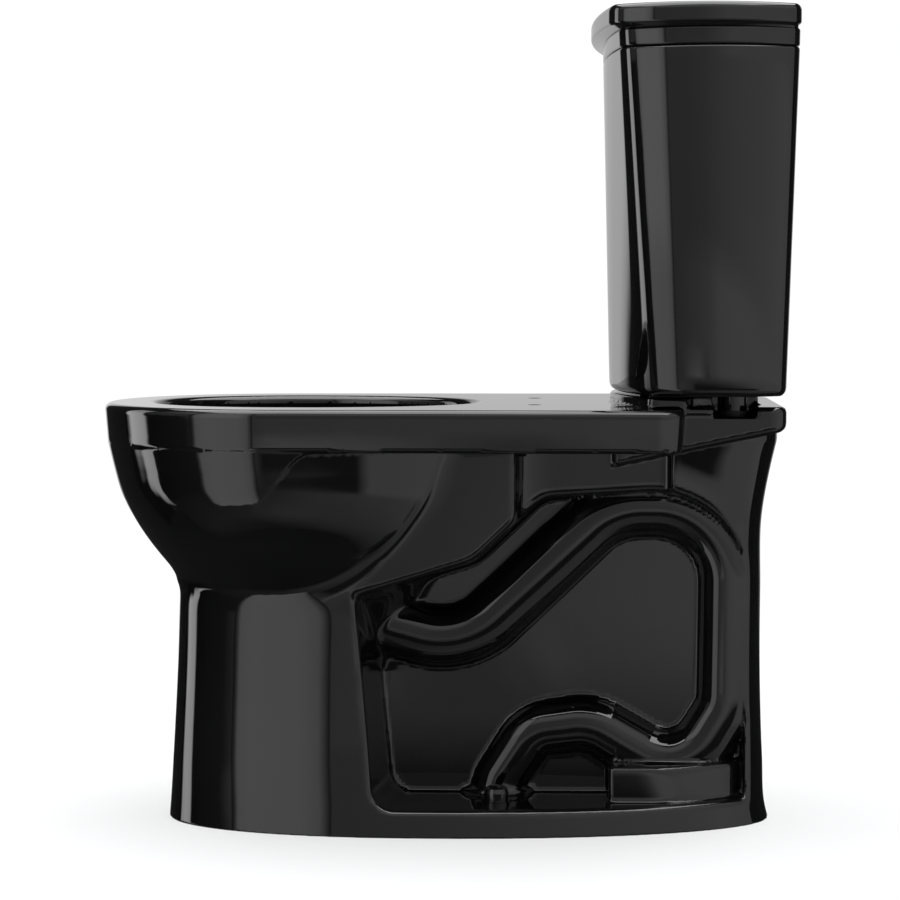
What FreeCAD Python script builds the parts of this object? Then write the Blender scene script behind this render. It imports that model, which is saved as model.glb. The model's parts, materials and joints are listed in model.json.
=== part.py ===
"""Two-piece close coupled toilet with an exposed S trapway, as separate pieces. Millimetres, +Z up.

The origin is the centre of the waste outlet at floor level. -Y is the front of the bowl, +Y the wall behind
the tank, and -X the side that carries the trip lever.
"""
import FreeCAD, Part
import math
import os
from FreeCAD import Vector

# Bowl: heights
RIM_Z = 410.0            # top of the rim and of the rear deck
BAND_Z = 370.0           # underside of the rim band and of the deck
LEDGE_Z = 26.0           # foot ledge inside the side recesses
PLATFORM_Z = 420.0       # raised seating for the tank
NOTCH_Z = 401.0          # floor of the notches that take the tank's bolt bosses
# Bowl: plan
RIM_CENTRE_Y = -208.0
RIM_R = 178.0
DECK_HALF = 187.0        # half width of the deck at its rear corners
DECK_REAR_Y = 176.0
SHELF_HALF = 112.0       # half width of the tank shelf behind the deck
SHELF_REAR_Y = 274.0
WALL = 11.0              # china thickness
WEB_HALF = 15.0          # half thickness of the web that carries the trapway
CHANNEL_HALF = 56.0      # half width of the flush channel's casing
TRAP_R = 29.0            # trapway, outside, in its own plane
TRAP_BORE_R = 21.0
TRAP_WIDEN = 1.35        # the trapway is wider across the toilet than in its plane
OUTLET_R = 30.0         # clears the widened bore
HORN_R = 38.0
SEAT_HOLE = (69.85, 36.0)
FLOOR_BOLT_X = 76.2
BOLT_HOLE_R = 6.5
# Tank
FLUSH_Y = 196.0          # axis of the flush valve and of the bowl's inlet
TANK_BOLT = (85.0, 225.0)
TANK_Z = (422.0, 741.0)
TANK_WALL = 9.0
TANK_FLOOR_Z = 432.0
LID_Z = 779.0
# Trip lever
LEVER_Y = 172.0
LEVER_Z = 700.0
LEVER_PAD_X = 211.0      # outer and inner faces of the lever's pad
LEVER_INNER_X = 183.0
CHAIN_Y = 232.0
# Fill valve
FILL = (-140.0, 205.0)
NUT_ROOM_R = 27.0        # clear of the bowl round the supply shank
OVERFLOW_Y = 143.0
OVERFLOW_TOP_Z = 664.0
FLAPPER_HINGE = (155.0, 468.0)

X_AXIS = Vector(1, 0, 0)
Y_AXIS = Vector(0, 1, 0)
Z_AXIS = Vector(0, 0, 1)


def save(shape, node):
    """Write one node's STEP file."""
    os.makedirs("parts", exist_ok=True)
    shape.exportStep("parts/" + node + ".step")
    print(node, "valid" if shape.isValid() else "NOT VALID", len(shape.Solids), round(shape.Volume))


def box(x0, x1, y0, y1, z0, z1):
    return Part.makeBox(x1 - x0, y1 - y0, z1 - z0, Vector(x0, y0, z0))


def post(r, z0, z1, x=0.0, y=0.0):
    """Upright cylinder."""
    return Part.makeCylinder(r, z1 - z0, Vector(x, y, z0))


def rod_x(r, x0, x1, y, z):
    """Cylinder along X."""
    return Part.makeCylinder(r, x1 - x0, Vector(x0, y, z), X_AXIS)


def tube(outer, inner, z0, z1, x=0.0, y=0.0):
    return post(outer, z0, z1, x, y).cut(post(inner, z0 - 1, z1 + 1, x, y))


def hexagon(across_flats, z0, z1, x, y):
    """Upright hexagonal prism."""
    r = across_flats / math.sqrt(3)
    corners = [Vector(x + r * math.cos(math.radians(60 * i)), y + r * math.sin(math.radians(60 * i)), z0)
               for i in range(7)]
    return Part.Face(Part.makePolygon(corners)).extrude(Vector(0, 0, z1 - z0))


def turned(points, x=0.0, y=0.0):
    """Solid of revolution about an upright axis, from (radius, height) corners."""
    corners = [Vector(x + r, y, z) for r, z in points]
    return Part.Face(Part.makePolygon(corners + corners[:1])).revolve(Vector(x, y, 0), Z_AXIS, 360)


def fuse(first, *others):
    """Join the shapes one after the other."""
    for other in others:
        first = first.fuse(other)
    return first


def cut(first, *others):
    """Take the other shapes away one after the other."""
    for other in others:
        first = first.cut(other)
    return first


def mirrored(shape):
    """The same shape on the other side of the toilet."""
    return shape.mirror(Vector(0, 0, 0), X_AXIS)


def both_sides(shape):
    return Part.makeCompound([shape, mirrored(shape)])


def egg(z, front, rear, half, widest, n_front=2.1, n_rear=2.05, count=36):
    """Closed smooth outline at one height: a superellipse in front of its widest place, another behind it."""
    points = []
    for i in range(count):
        c = math.cos(2 * math.pi * i / count)
        s = math.sin(2 * math.pi * i / count)
        n = n_rear if s > 0 else n_front
        reach = rear - widest if s > 0 else widest - front
        x = half * math.copysign(abs(c) ** (2 / n), c)
        y = widest + reach * math.copysign(abs(s) ** (2 / n), s)
        points.append(Vector(x, y, z))
    curve = Part.BSplineCurve()
    curve.interpolate(Points=points, PeriodicFlag=True, Parameters=[i / count for i in range(count + 1)])
    return Part.Wire([curve.toShape()])


def egg_loft(sections, grow=0.0):
    """Solid through egg outlines, each grown outwards by the same amount."""
    wires = [egg(s[0], s[1] - grow, s[2] + grow, s[3] + grow, *s[4:]) for s in sections]
    return Part.makeLoft(wires, True, False)


def rounded_route(points, radii, place):
    """Wire of straight runs joined by tangent arcs; place turns a (u, v) pair into a vector."""
    at = [place(*p) for p in points]
    edges = []
    last = at[0]
    for i in range(1, len(at) - 1):
        back = (at[i - 1] - at[i]).normalize()
        ahead = (at[i + 1] - at[i]).normalize()
        half_angle = back.getAngle(ahead) / 2
        setback = radii[i - 1] / math.tan(half_angle)
        start = at[i] + back * setback
        end = at[i] + ahead * setback
        middle_dir = (back + ahead).normalize()
        middle = at[i] + middle_dir * (radii[i - 1] / math.sin(half_angle) - radii[i - 1])
        if (start - last).Length > 1e-6:
            edges.append(Part.LineSegment(last, start).toShape())
        edges.append(Part.Arc(start, middle, end).toShape())
        last = end
    if (at[-1] - last).Length > 1e-6:
        edges.append(Part.LineSegment(last, at[-1]).toShape())
    return Part.Wire(edges)


def swept(route, r, start_dir):
    """Round bar along a route."""
    first = route.OrderedVertexes[0].Point
    ring = Part.Wire([Part.makeCircle(r, first, start_dir)])
    return route.makePipeShell([ring], True, False)


def in_plane(y, z):
    return Vector(0, y, z)


# ---------------------------------------------------------------- bowl

# (height, front, rear, half width, widest place, front exponent, rear exponent)
PEDESTAL = [(0, -321, 263, 114, -60, 2.25, 2.05), (12, -320, 260, 112, -60, 2.25, 2.05),
            (60, -319, 258, 107, -60, 2.25, 2.05), (150, -315, 257, 104, -60, 2.25, 2.05),
            (230, -313, 256, 103, -60, 2.25, 2.1), (300, -308, 255, 96, -60, 2.25, 2.2),
            (352, -304, 266, 90, -60, 2.25, 2.5), (374, -302, 272, 88, -60, 2.25, 2.8)]
BELLY = [(232, -312, -80, 98, -150, 2.2, 2.0), (259, -329, -62, 118, -170, 2.15, 2.0),
         (289, -350, -52, 140, -190, 2.1, 2.0), (318, -366, -42, 157, -202, 2.05, 2.0),
         (349, -377, -34, 170, -208, 2.0, 2.0), (372, -382, -30, 175, -208, 2.0, 2.0)]
BASIN = [(146, -205, -128, 26, -165, 2.1, 2.0), (166, -222, -116, 38, -168, 2.1, 2.0),
         (196, -250, -103, 52, -172, 2.1, 2.0), (230, -286, -86, 76, -180, 2.1, 1.95),
         (265, -318, -66, 106, -190, 2.1, 1.9), (300, -343, -46, 133, -200, 2.1, 1.8),
         (330, -357, -28, 147, -205, 2.1, 1.75), (364, -360, -15, 151, -206, 2.1, 1.7)]
RIM_OPENING = (-334, -23, 121, -196)
TRAP_POINTS = [(-142, 201), (-34, 171), (110, 308), (232, 308), (230, 112), (193, 62), (152, 60),
               (92, 96), (34, 88), (0, 36), (0, 0)]
TRAP_RADII = [75, 76, 72, 50, 46, 60, 50, 36, 30]


def deck_outline(z, grow):
    """Round front, straight sides and rounded rear corners, with arcs at the corners."""
    r = RIM_R + grow
    side = DECK_HALF + grow
    rear = DECK_REAR_Y + grow
    corner = 26.0
    turn = math.asin((DECK_HALF - RIM_R) / (DECK_REAR_Y - RIM_CENTRE_Y))
    tangent = Vector(r * math.cos(turn), RIM_CENTRE_Y - r * math.sin(turn), z)
    bend = Vector(side, rear - corner, z)
    cut_in = corner * (1 - math.sqrt(0.5))
    right = [Part.LineSegment(tangent, bend).toShape(),
             Part.Arc(bend, Vector(side - cut_in, rear - cut_in, z),
                      Vector(side - corner, rear, z)).toShape()]
    back = Part.LineSegment(Vector(side - corner, rear, z), Vector(corner - side, rear, z)).toShape()
    left = [e.mirror(Vector(0, 0, 0), X_AXIS) for e in reversed(right)]
    flipped = Vector(-tangent.x, tangent.y, z)
    front = Part.Arc(flipped, Vector(0, RIM_CENTRE_Y - r, z), tangent).toShape()
    return Part.Wire(Part.__sortEdges__(right + [back] + left + [front]))


def deck():
    """Rim band and rear deck in one slab, with a rounded top edge."""
    slab = Part.makeLoft([deck_outline(BAND_Z, -3.0), deck_outline(RIM_Z, 0.0)], True, True)
    top = [e for e in slab.Edges if all(abs(v.Z - RIM_Z) < 1e-3 for v in e.Vertexes)]
    return slab.makeFillet(7.0, top)


def shelf():
    """Tank shelf behind the deck, with its underside rising towards the wall."""
    side = [(126, 356), (264, 385), (SHELF_REAR_Y, 393), (SHELF_REAR_Y, RIM_Z), (126, RIM_Z)]
    corners = [Vector(-SHELF_HALF, y, z) for y, z in side]
    slab = Part.Face(Part.makePolygon(corners + corners[:1])).extrude(Vector(2 * SHELF_HALF, 0, 0))
    upright = [e for e in slab.Edges
               if abs(e.BoundBox.XLength) < 1e-3 and abs(e.BoundBox.YLength) < 1e-3
               and abs(e.BoundBox.YMin - SHELF_REAR_Y) < 1e-3]
    return slab.makeFillet(16.0, upright)


def platform():
    """Raised seating for the tank, bowed at the front, with room at each side for a supply nut."""
    half, front, corner, rear = 140.0, 110.0, 143.0, 204.0
    z = RIM_Z - 5
    inner_half, inner_rear = 62.0, 250.0
    front_arc = Part.Arc(Vector(-half, corner, z), Vector(0, front, z), Vector(half, corner, z)).toShape()
    rest = Part.makePolygon([Vector(half, corner, z), Vector(half, rear, z), Vector(inner_half, rear, z),
                             Vector(inner_half, inner_rear, z), Vector(-inner_half, inner_rear, z),
                             Vector(-inner_half, rear, z), Vector(-half, rear, z), Vector(-half, corner, z)])
    block = Part.Face(Part.Wire([front_arc] + rest.Edges)).extrude(Vector(0, 0, PLATFORM_Z - z))
    for side in (-1, 1):
        block = block.cut(post(NUT_ROOM_R, z - 1, PLATFORM_Z + 1, side * FILL[0], FILL[1]))
    return block


def recess_wire(x, points, radii):
    """Closed outline in an upright plane, with arcs at its corners."""
    first = ((points[0][0] + points[-1][0]) / 2, (points[0][1] + points[-1][1]) / 2)
    route = rounded_route([first] + points + [first], radii, lambda y, z: Vector(x, y, z))
    return route


def recess():
    """Drafted pocket in the near side of the pedestal, from its lip to the web."""
    lip = [(-137, 229), (-20, 265), (60, 327), (160, 333), (225, 300), (246, 240), (246, LEDGE_Z),
           (-117, LEDGE_Z)]
    web = [(-121, 217), (-24, 252), (52, 315), (156, 322), (218, 292), (240, 236), (240, LEDGE_Z),
           (-103, LEDGE_Z)]
    lip_radii = [8, 20, 20, 40, 40, 10, 6, 20]
    web_radii = [8, 20, 20, 40, 40, 10, 6, 14]
    far = recess_wire(130.0, lip, lip_radii)
    near = recess_wire(WEB_HALF, web, web_radii)
    return Part.makeLoft([far, near], True, True)


def trapway(r):
    """Round bar along the trapway's centreline, widened across the toilet."""
    route = rounded_route(TRAP_POINTS, TRAP_RADII, in_plane)
    start = in_plane(*TRAP_POINTS[1]) - in_plane(*TRAP_POINTS[0])
    bar = swept(route, r, start)
    widen = FreeCAD.Matrix()
    widen.scale(TRAP_WIDEN, 1, 1)
    return bar.transformGeometry(widen)


def rim_channel():
    """Hollow that carries flush water round the rim, with its holes and the way in from the tank."""
    outer = Part.Face(deck_outline(376.0, -12.0)).extrude(Vector(0, 0, 22))
    front_only = box(-250, 250, -450, 8, 370, 402)
    inner = Part.Face(egg(376.0, RIM_OPENING[0] - 9, RIM_OPENING[1] + 9, RIM_OPENING[2] + 9, RIM_OPENING[3]))
    ring = outer.common(front_only).cut(inner.extrude(Vector(0, 0, 22)))
    feed = box(-40, 40, -12, FLUSH_Y + 34, 344, 398)
    holes = []
    for i in range(24):
        turn = math.radians(15 * i + 7.5)
        holes.append(post(3.0, 355, 378, 139 * math.cos(turn), RIM_OPENING[3] + 151 * math.sin(turn)))
    return ring, feed, holes


def foot_hollow():
    """Hollow under the front of the pedestal, open at the floor."""
    inside = egg_loft([s for s in PEDESTAL if s[0] <= 230], -WALL)
    low = box(-200, 200, -400, -150, -1, 122)
    high = box(-200, 200, -400, -246, -1, 205)
    return inside.common(low.fuse(high))


def bowl():
    """The whole bowl casting: pedestal, belly, rim, deck, tank shelf and trapway."""
    under_deck = box(CHANNEL_HALF, 160, 22, 167, 318, BAND_Z)
    skirt = cut(fuse(egg_loft(PEDESTAL), egg_loft(BELLY)), under_deck, mirrored(under_deck))
    near_cuts = [recess(),
                 box(62, 130, 204, 245, NOTCH_Z, 430),
                 post(14.0, 340, 388, *TANK_BOLT)]
    body = cut(fuse(skirt, deck(), shelf(), platform()), *near_cuts, *[mirrored(c) for c in near_cuts],
               foot_hollow())
    block = box(-70, 70, 108, 250, LEDGE_Z - 2, 60).common(egg_loft(PEDESTAL[:4], -14))
    sump = egg_loft(BASIN, WALL)
    body = fuse(body, sump, block, post(HORN_R, 0, 34), trapway(TRAP_R))
    ring, feed, holes = rim_channel()
    opening = Part.Face(egg(350.0, *RIM_OPENING)).extrude(Vector(0, 0, 70))
    body = cut(body, tube(62.0, HORN_R, -1, 14), egg_loft(BASIN), opening, trapway(TRAP_BORE_R),
               post(OUTLET_R, -1, 26), ring, feed, *holes,
               post(29.0, 380, 430, 0, FLUSH_Y), post(46.0, 404, 430, 0, FLUSH_Y))
    for side in (-1, 1):
        body = cut(body, post(BOLT_HOLE_R, 360, 420, side * SEAT_HOLE[0], SEAT_HOLE[1]),
                   post(BOLT_HOLE_R, -1, 40, side * FLOOR_BOLT_X, 0),
                   post(5.5, 380, 410, side * TANK_BOLT[0], TANK_BOLT[1]))
    return body


def bolt_caps():
    """Domed caps over the floor bolts, and the rings that they snap on to."""
    dome = turned([(9.5, 28.5), (12.0, 28.5), (12.0, 37.0), (10.5, 41.0), (7.5, 43.0), (0, 43.6),
                   (0, 41.2), (6.5, 40.8), (8.8, 39.0), (9.5, 36.5)], FLOOR_BOLT_X, 0)
    ring = turned([(7.5, LEDGE_Z), (13.0, LEDGE_Z), (13.0, 28.3), (9.3, 28.3), (9.3, 32.0), (7.5, 32.0)],
                  FLOOR_BOLT_X, 0)
    save(both_sides(dome), "bolt_cap")
    save(both_sides(ring), "bolt_cap_base")


# ---------------------------------------------------------------- tank and lid

# (height, front centre, front corner half width and place, side half width, rear corner half width, rear)
TANK_LOW = (422.0, 109.4, 150.0, 141.0, 175.0, 152.0, 269.5)
TANK_HIGH = (741.0, 102.5, 175.0, 120.0, 208.0, 181.0, 277.0)
LID_BAND_HIGH = (757.0, 102.2, 176.0, 119.0, 209.0, 182.0, 277.2)
LID_SLAB = (0.0, 90.6, 183.0, 112.0, 215.0, 186.0, 278.0)


def tank_outline(z, front, corner_x, corner_y, side_x, rear_x, rear_y, inset=0.0):
    """Bowed front and sides, straight back."""
    cx = corner_x - inset
    cy = corner_y + inset
    rx = rear_x - inset
    ry = rear_y - inset
    middle_y = (corner_y + rear_y) / 2
    front_arc = Part.Arc(Vector(-cx, cy, z), Vector(0, front + inset, z), Vector(cx, cy, z)).toShape()
    right = Part.Arc(Vector(cx, cy, z), Vector(side_x - inset, middle_y, z), Vector(rx, ry, z)).toShape()
    back = Part.LineSegment(Vector(rx, ry, z), Vector(-rx, ry, z)).toShape()
    left = Part.Arc(Vector(-rx, ry, z), Vector(inset - side_x, middle_y, z), Vector(-cx, cy, z)).toShape()
    return Part.Wire([front_arc, right, back, left])


def between(low, high, t):
    return tuple(a + (b - a) * t for a, b in zip(low, high))


def tank_at(z):
    """The tank's taper, carried to any height."""
    return between(TANK_LOW, TANK_HIGH, (z - TANK_Z[0]) / (TANK_Z[1] - TANK_Z[0]))


def tapered(low, high, inset=0.0, corner=0.0, bottom=0.0, top=0.0):
    """Solid between two tank outlines, with rounded uprights and edges."""
    block = Part.makeLoft([tank_outline(*low, inset=inset), tank_outline(*high, inset=inset)], True, True)
    if corner:
        upright = [e for e in block.Edges if e.BoundBox.ZLength > 0.9 * (high[0] - low[0])]
        block = block.makeFillet(corner, upright)
    if bottom:
        block = block.makeFillet(bottom, [e for e in block.Edges if e.BoundBox.ZMax < low[0] + 0.01])
    if top:
        block = block.makeFillet(top, [e for e in block.Edges if e.BoundBox.ZMin > high[0] - 0.01])
    return block


def tank():
    shell = tapered(TANK_LOW, TANK_HIGH, corner=9.0, bottom=8.0, top=2.5)
    hollow = tapered(tank_at(TANK_FLOOR_Z), tank_at(745.0), inset=TANK_WALL, corner=6.0, bottom=5.0)
    boss = post(12.5, 406, 430, *TANK_BOLT)
    pad = rod_x(19.0, -LEVER_PAD_X, -LEVER_INNER_X, LEVER_Y, LEVER_Z)
    shell = fuse(shell.cut(hollow), boss, mirrored(boss), pad)
    return cut(shell, post(31.0, 415, 440, 0, FLUSH_Y), post(13.0, 415, 440, *FILL),
               post(5.5, 400, 440, *TANK_BOLT), post(5.5, 400, 440, -TANK_BOLT[0], TANK_BOLT[1]),
               rod_x(9.0, -230, -175, LEVER_Y, LEVER_Z))


def tank_lid():
    """Overhanging slab on a lower band that stands on the tank's rim."""
    gap = 0.3
    band_low = (TANK_Z[1] + gap,) + tank_at(TANK_Z[1])[1:]
    band = tapered(band_low, LID_BAND_HIGH, corner=9.0, bottom=1.5)
    cove = tapered((756.0,) + LID_BAND_HIGH[1:], (762.0,) + LID_BAND_HIGH[1:], inset=1.5, corner=8.0)
    slab = tapered((760.5,) + LID_SLAB[1:], (LID_Z,) + LID_SLAB[1:], corner=10.0, bottom=4.0, top=6.0)
    hollow = tapered((735.0,) + LID_BAND_HIGH[1:], (767.0,) + LID_BAND_HIGH[1:], inset=11.0, corner=6.0)
    return fuse(band, cove, slab).cut(hollow)


# ---------------------------------------------------------------- tank fixings

def tank_fixings():
    x, y = TANK_BOLT
    floor = TANK_FLOOR_Z
    bolt = fuse(turned([(0, floor + 4.2), (9.0, floor + 4.2), (9.0, floor + 6.0), (6.5, floor + 8.4),
                        (0, floor + 9.2)], x, y), post(3.97, 377, floor + 5, x, y))
    bolt = bolt.cut(box(x - 10, x + 10, y - 0.8, y + 0.8, floor + 6.6, floor + 12))
    rubber = turned([(4.1, floor), (12.0, floor), (12.0, floor + 2.6), (9.5, floor + 4.1),
                     (4.1, floor + 4.1)], x, y)
    cushion = tube(14.0, 5.0, NOTCH_Z + 0.02, 405.98, x, y)
    washer = tube(9.5, 4.2, 386.3, 387.95, x, y)
    nut = hexagon(12.7, 379.6, 386.2, x, y).cut(post(4.0, 370, 390, x, y))
    gasket = turned([(29.5, 404.1), (44.5, 404.1), (44.5, 421.9), (40.6, 421.9), (40.6, 410.5),
                     (29.5, 410.5)], 0, FLUSH_Y)
    foot = box(110, 130, 144, 176, PLATFORM_Z + 0.02, TANK_Z[0] - 0.02)
    save(both_sides(bolt), "tank_bolt")
    save(both_sides(rubber), "tank_bolt_rubber_washer")
    save(both_sides(cushion), "tank_bolt_cushion")
    save(both_sides(washer), "tank_bolt_metal_washer")
    save(both_sides(nut), "tank_bolt_nut")
    save(gasket, "tank_to_bowl_gasket")
    save(both_sides(foot), "tank_rest_pad")


# ---------------------------------------------------------------- flush valve

VALVE_BORE_R = 25.0
VALVE_SHANK_R = 29.0
SEAT_Z = 462.0
SEAT_R = 33.0
HINGE_PIN_R = 2.5
HINGE_PIN_X = (16.0, 26.0)


def flush_valve():
    y = FLUSH_Y
    shank = post(VALVE_SHANK_R, 399, 440, 0, y)
    flange = post(44.0, 436.1, 441, 0, y)
    cone = turned([(0, 440), (36.0, 440), (SEAT_R + 5, 450), (SEAT_R + 2, SEAT_Z - 2), (SEAT_R - 1, SEAT_Z),
                   (0, SEAT_Z)], 0, y)
    base = fuse(box(-17, 17, OVERFLOW_Y - 6, y - 20, 441, 455), post(17.0, 441, 455, 0, OVERFLOW_Y))
    pipe = post(15.0, 441, OVERFLOW_TOP_Z, 0, OVERFLOW_Y)
    body = fuse(shank, flange, cone, base, pipe)
    hinge_y, hinge_z = FLAPPER_HINGE
    for side in (-1, 1):
        a, b = sorted((side * 12.0, side * HINGE_PIN_X[0]))
        body = body.fuse(box(a, b, OVERFLOW_Y + 2, hinge_y + 3.2, hinge_z - 22, hinge_z + 4))
        a, b = sorted((side * 14.0, side * HINGE_PIN_X[1]))
        body = body.fuse(rod_x(HINGE_PIN_R, a, b, hinge_y, hinge_z))
    bore = turned([(0, 395), (VALVE_BORE_R, 395), (VALVE_BORE_R, 446), (SEAT_R - 4, 456),
                   (SEAT_R - 4, SEAT_Z + 1), (0, SEAT_Z + 1)], 0, y)
    body = cut(body, bore, post(12.8, 446, 700, 0, OVERFLOW_Y),
               box(-8, 8, OVERFLOW_Y, y - 25, 446, 452))
    save(body, "flush_valve_body")
    save(tube(43.0, VALVE_SHANK_R + 0.3, TANK_FLOOR_Z, 436.0, 0, y), "flush_valve_washer")
    nut = tube(36.0, VALVE_SHANK_R + 0.2, 411.0, 421.9, 0, y)
    for i in range(8):
        turn = math.radians(45 * i)
        nut = nut.fuse(post(4.0, 411.0, 421.9, 35.5 * math.cos(turn), y + 35.5 * math.sin(turn)))
    save(nut.cut(post(VALVE_SHANK_R + 0.2, 405, 425, 0, y)), "flush_valve_nut")


def flapper():
    """Hinged frame with its rubber disc, shut on the seat."""
    hinge_y, hinge_z = FLAPPER_HINGE
    y = FLUSH_Y
    frame = turned([(0, SEAT_Z + 4.2), (30.0, SEAT_Z + 4.2), (30.0, SEAT_Z + 7.5), (20.0, SEAT_Z + 12.0),
                    (0, SEAT_Z + 14.0)], 0, y)
    for side in (-1, 1):
        a, b = sorted((side * (HINGE_PIN_X[0] + 1.2), side * (HINGE_PIN_X[1] - 1.5)))
        arm = box(a, b, hinge_y, y, SEAT_Z + 4.3, SEAT_Z + 9.5)
        eye = rod_x(5.2, a, b, hinge_y, hinge_z)
        frame = fuse(frame, arm, eye)
    tab = box(-2.0, 2.0, y + 18, CHAIN_Y + 6, SEAT_Z + 4.3, SEAT_Z + 18.5)
    frame = frame.fuse(tab)
    frame = frame.cut(rod_x(HINGE_PIN_R + 0.08, -40, 40, hinge_y, hinge_z))
    frame = frame.cut(rod_x(3.4, -10, 10, CHAIN_Y, EYE_Z))
    seal = turned([(0, SEAT_Z + 0.3), (35.0, SEAT_Z + 0.3), (36.0, SEAT_Z + 2.0), (34.0, SEAT_Z + 4.1),
                   (0, SEAT_Z + 4.1)], 0, y)
    bulb = turned([(0, 446), (12, 446.5), (20, 450), (24.5, 456), (25.5, SEAT_Z + 0.3),
                   (0, SEAT_Z + 0.3)], 0, y)
    save(frame, "flapper_frame")
    save(seal.fuse(bulb), "flapper_seal")


# ---------------------------------------------------------------- trip lever

ARM_Z = (LEVER_Z - 6.3, LEVER_Z + 6.0)
HOOK_Z = LEVER_Z - 1.0
EYE_Z = SEAT_Z + 12.2


def trip_lever():
    y, z = LEVER_Y, LEVER_Z
    pad = -LEVER_PAD_X
    bush = fuse(rod_x(14.0, pad - 4.0, pad - 0.1, y, z), rod_x(8.6, pad - 1.0, -172.0, y, z))
    bush = bush.cut(rod_x(5.1, pad - 6, -165, y, z))
    washer = rod_x(13.0, 0.1 - LEVER_INNER_X, 1.6 - LEVER_INNER_X, y, z).cut(rod_x(8.8, -190, -170, y, z))
    nut_r = 24.0 / math.sqrt(3)
    turns = [math.radians(60 * i) for i in range(7)]
    corners = [Vector(1.7 - LEVER_INNER_X, y + nut_r * math.cos(t), z + nut_r * math.sin(t)) for t in turns]
    nut = Part.Face(Part.makePolygon(corners)).extrude(Vector(6.5, 0, 0)).cut(rod_x(8.7, -190, -170, y, z))
    spindle = rod_x(5.05, pad - 8.0, -160.0, y, z)
    grip = handle_grip(pad)
    save(fuse(spindle, grip), "trip_lever_handle")
    save(bush, "trip_lever_bushing")
    save(washer, "trip_lever_washer")
    save(nut, "trip_lever_nut")
    hub = rod_x(9.0, -171.0, -161.0, y, z).cut(rod_x(5.06, -175, -155, y, z))
    hub = hub.cut(Part.makeCylinder(1.65, 20, Vector(-166, y, z + 2), Z_AXIS))
    strip = Part.makePolygon([Vector(-168, y + 6.5, ARM_Z[0]), Vector(-160, y + 6.5, ARM_Z[0]),
                              Vector(-16, CHAIN_Y - 1.2, ARM_Z[0]), Vector(18, CHAIN_Y - 1.2, ARM_Z[0]),
                              Vector(18, CHAIN_Y + 1.2, ARM_Z[0]), Vector(-17, CHAIN_Y + 1.2, ARM_Z[0]),
                              Vector(-161, y + 9.8, ARM_Z[0]), Vector(-168, y + 9.8, ARM_Z[0]),
                              Vector(-168, y + 6.5, ARM_Z[0])])
    bar = Part.Face(strip).extrude(Vector(0, 0, ARM_Z[1] - ARM_Z[0]))
    bar = bar.cut(rod_x(5.06, -175, -155, y, z))
    for hole_x in (-11.0, 0.0, 11.0):
        bar = bar.cut(Part.makeCylinder(4.2, 12, Vector(hole_x, CHAIN_Y - 6, HOOK_Z), Y_AXIS))
    save(fuse(hub, bar), "trip_lever_arm")
    screw = Part.makeCylinder(1.6, 6.5, Vector(-166, y, z + 5.1), Z_AXIS)
    save(screw.fuse(Part.makeCylinder(3.0, 2.2, Vector(-166, y, z + 9.6), Z_AXIS)), "trip_lever_set_screw")


def handle_grip(pad):
    """Tapered grip outside the tank that points to the front, on a round hub."""
    y, z = LEVER_Y, LEVER_Z
    x0 = pad - 15.0
    hub = rod_x(12.0, x0, pad - 4.3, y, z)
    outline = Part.makePolygon([Vector(x0, y, z - 9), Vector(x0, y, z + 9), Vector(x0, 124, z + 8),
                                Vector(x0, 115, z + 4), Vector(x0, 115, z - 4), Vector(x0, 124, z - 8),
                                Vector(x0, y, z - 9)])
    grip = Part.Face(outline).extrude(Vector(9.0, 0, 0))
    along = [e for e in grip.Edges if e.BoundBox.XLength < 0.01 and e.BoundBox.YMin < y - 1]
    return grip.makeFillet(2.5, along).fuse(hub)


def chain():
    """Bead links from the flapper's eye up to the hook in the arm."""
    lower = Part.makeTorus(5.0, 0.8, Vector(0, CHAIN_Y, EYE_Z + 5.0), Y_AXIS)
    links = fuse(lower, post(0.6, EYE_Z + 10.2, HOOK_Z - 14.4, 0, CHAIN_Y))
    pitch = 9.0
    count = int((HOOK_Z - 21 - EYE_Z - 13) / pitch)
    for i in range(count + 1):
        links = links.fuse(Part.makeSphere(1.9, Vector(0, CHAIN_Y, EYE_Z + 13.0 + pitch * i)))
    save(links, "lift_chain")
    ring = Part.makeTorus(6.7, 0.6, Vector(0, CHAIN_Y, HOOK_Z - 6.7), X_AXIS)
    stem = post(1.1, HOOK_Z - 18.5, HOOK_Z - 13.2, 0, CHAIN_Y)
    stem = stem.cut(post(0.65, HOOK_Z - 20, HOOK_Z - 14.2, 0, CHAIN_Y))
    save(ring.fuse(stem), "chain_hook")


# ---------------------------------------------------------------- fill valve

FLOAT_PIVOT = (184.5, 677.5)
FLOAT_ROD_Y = 233.0


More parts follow.
